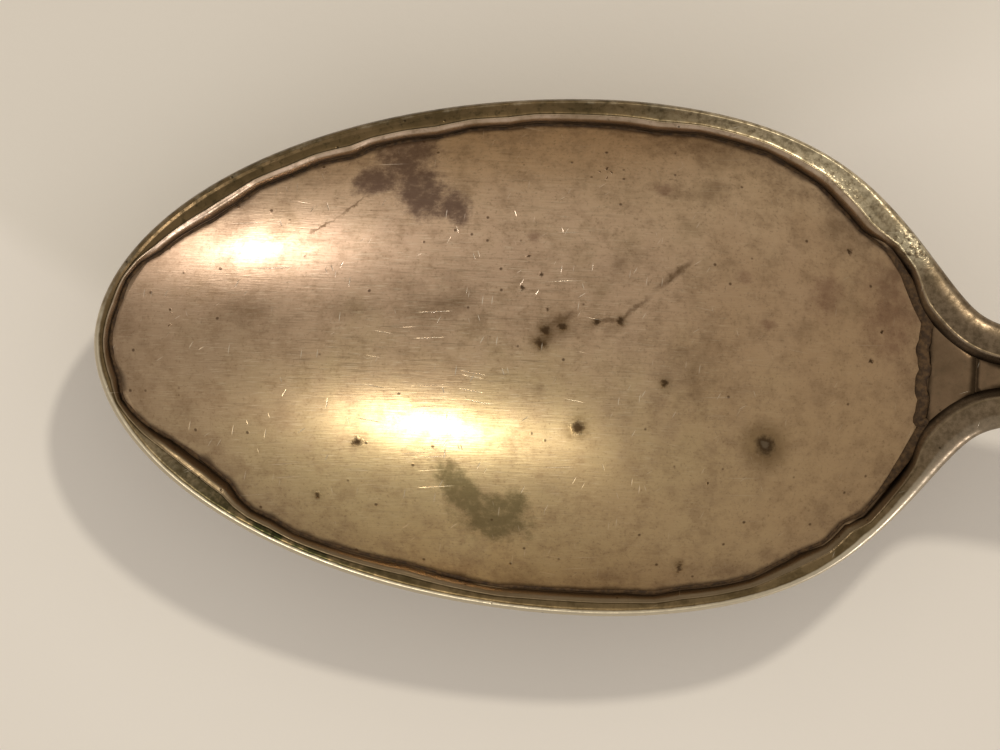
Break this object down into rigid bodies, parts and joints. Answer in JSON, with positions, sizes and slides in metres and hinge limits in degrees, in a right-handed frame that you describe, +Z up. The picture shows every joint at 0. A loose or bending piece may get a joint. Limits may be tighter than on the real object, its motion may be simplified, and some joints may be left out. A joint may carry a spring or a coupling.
{
  "type": "souvenir spoon",
  "caption": "Souvenir teaspoon with an egg-shaped bowl, a rim moulding that runs on as stem ribs, and an enamelled landscape badge.",
  "frame": {"origin": "on the table, under the middle of the spoon's overall length and width", "axes": "+X from the bowl's tip towards the finial, +Y to the left of the handle seen from the bowl, +Z up out of the bowl's mouth"},
  "size_m": [0.148, 0.0308, 0.0157],
  "materials": {
    "gilt_wash": "worn gold wash over silver, satin, brown tarnish",
    "rim_silver": "tarnished silver, olive brown, bright where worn",
    "seam_tarnish": "near black tarnish in the solder seam",
    "stem_silver": "tarnished silver, satin",
    "terminal_silver": "tarnished silver with dark recesses",
    "badge_copper": "copper ground under the enamel",
    "wire_silver": "polished silver wire",
    "enamel_blue": "gloss enamel",
    "enamel_green": "gloss enamel",
    "enamel_teal": "gloss enamel",
    "enamel_yellow": "gloss enamel"
  },
  "bodies": {
    "root": {"bowl_pan": "gilt_wash", "bowl_rim": "rim_silver", "rim_solder_seam": "seam_tarnish", "neck_web": "stem_silver", "bowl_heel": "stem_silver", "stem_core": "stem_silver", "stem_rib_left": "rim_silver", "stem_rib_right": "rim_silver", "terminal_plate": "terminal_silver", "terminal_border_left": "rim_silver", "terminal_border_right": "rim_silver", "shell_finial": "terminal_silver", "laurel_spray_left": "terminal_silver", "laurel_spray_right": "terminal_silver", "badge_bezel": "rim_silver", "badge_disc": "badge_copper", "badge_wires": "wire_silver", "enamel_sky": "enamel_blue", "enamel_hills": "enamel_green", "enamel_lake": "enamel_teal", "enamel_sun": "enamel_yellow"}
  },
  "joints": []
}
